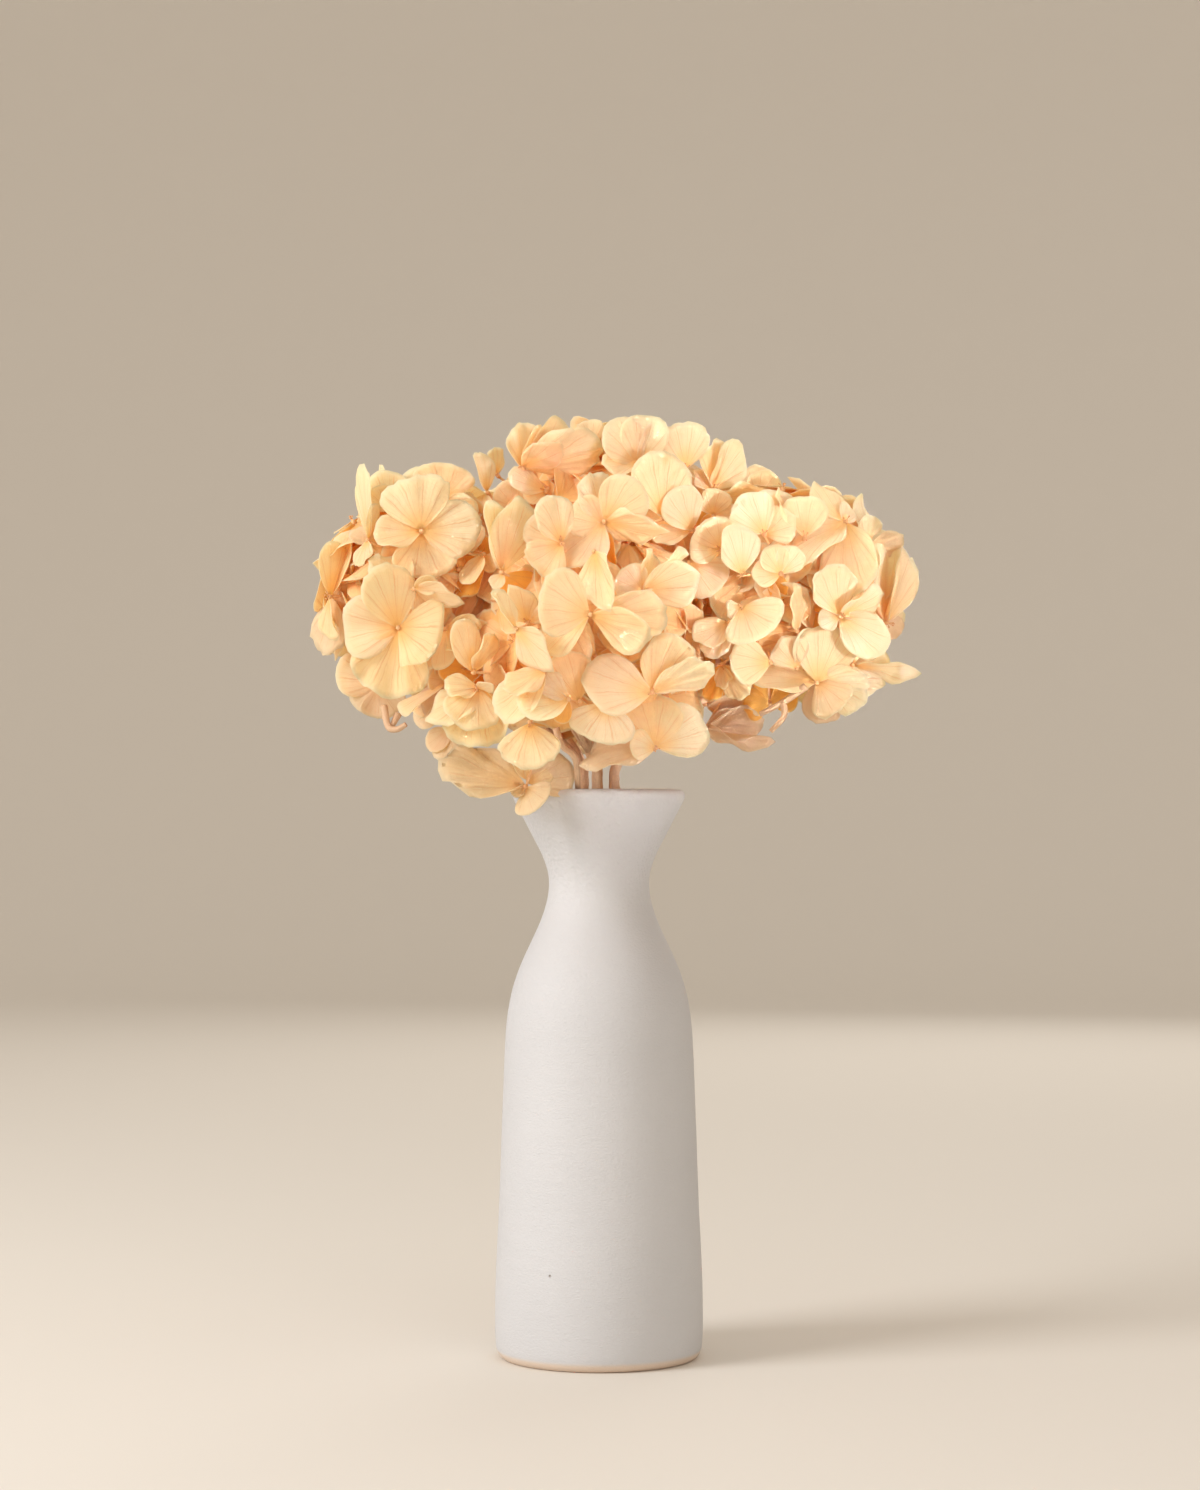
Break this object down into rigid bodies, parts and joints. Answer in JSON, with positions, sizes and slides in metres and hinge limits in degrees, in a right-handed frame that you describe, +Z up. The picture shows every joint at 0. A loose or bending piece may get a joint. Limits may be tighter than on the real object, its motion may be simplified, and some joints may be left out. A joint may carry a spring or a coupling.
{
  "type": "hydrangeas in a vase",
  "caption": "Bunch of preserved cream-peach mophead hydrangeas standing in a matte white ceramic bottle vase with a flared neck.",
  "frame": {"origin": "centre of the vase's flat base, on the surface it stands on", "axes": "+Z up along the vase's axis, +X to the viewer's right, -Y towards the viewer"},
  "size_m": [0.2471, 0.2018, 0.3808],
  "materials": {
    "glaze": "matte, finely grained, with a few brown specks",
    "petal": "soft matte, thin and slightly translucent, with fine veins",
    "stem": "matte, dry"
  },
  "bodies": {
    "root": {"vase": "glaze", "stem_left": "stem", "stem_centre": "stem", "stem_right": "stem", "stem_top": "stem", "stem_back_left": "stem", "stem_back_right": "stem", "head_left": "petal", "head_centre": "petal", "head_right": "petal", "head_top": "petal", "head_back_left": "petal", "head_back_right": "petal"}
  },
  "joints": []
}
